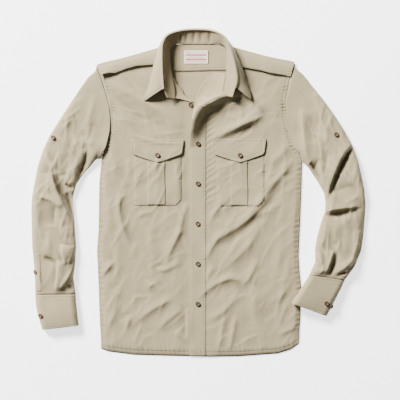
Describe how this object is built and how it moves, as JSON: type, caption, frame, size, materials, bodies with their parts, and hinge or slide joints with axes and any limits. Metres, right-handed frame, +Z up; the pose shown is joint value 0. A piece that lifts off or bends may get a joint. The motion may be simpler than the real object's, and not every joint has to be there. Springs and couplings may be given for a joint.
{
  "type": "long-sleeved shirt",
  "caption": "Long-sleeved work shirt laid flat on its back, with a turned-down collar, buttoned front, pleated chest pockets with flaps, and buttoned cuffs.",
  "frame": {"origin": "on the floor under the middle of the back, at the back's flat outer face", "axes": "+Y up the shirt towards the collar, +X towards the wearer's left side, +Z up out of the shirt's front"},
  "size_m": [0.8339, 0.8184, 0.0394],
  "materials": {
    "cloth": "matt plain-weave cotton",
    "cloth_inside": "matt plain-weave cotton, inner side",
    "label": "woven tape",
    "button": "horn-like, polished"
  },
  "bodies": {
    "root": {"back": "cloth", "front_left": "cloth", "front_right": "cloth", "placket": "cloth", "yoke_front_left": "cloth", "yoke_front_right": "cloth", "pocket_left": "cloth", "pocket_right": "cloth", "pocket_pleat_left": "cloth", "pocket_pleat_right": "cloth", "pocket_flap_left": "cloth", "pocket_flap_right": "cloth", "sleeve_left": "cloth", "sleeve_right": "cloth", "sleeve_placket_left": "cloth", "sleeve_placket_right": "cloth", "cuff_left": "cloth", "cuff_right": "cloth", "collar": "cloth", "yoke_back": "cloth_inside", "collar_stand": "cloth_inside", "label": "label", "button_front_1": "button", "button_front_2": "button", "button_front_3": "button", "button_front_4": "button", "button_front_5": "button", "button_neck": "button", "button_pocket_left": "button", "button_pocket_right": "button", "button_tab_left": "button", "button_tab_right": "button", "button_slit_left": "button", "button_slit_right": "button", "button_cuff_left": "button", "button_cuff_left_outer": "button", "button_cuff_right": "button"}
  },
  "joints": []
}
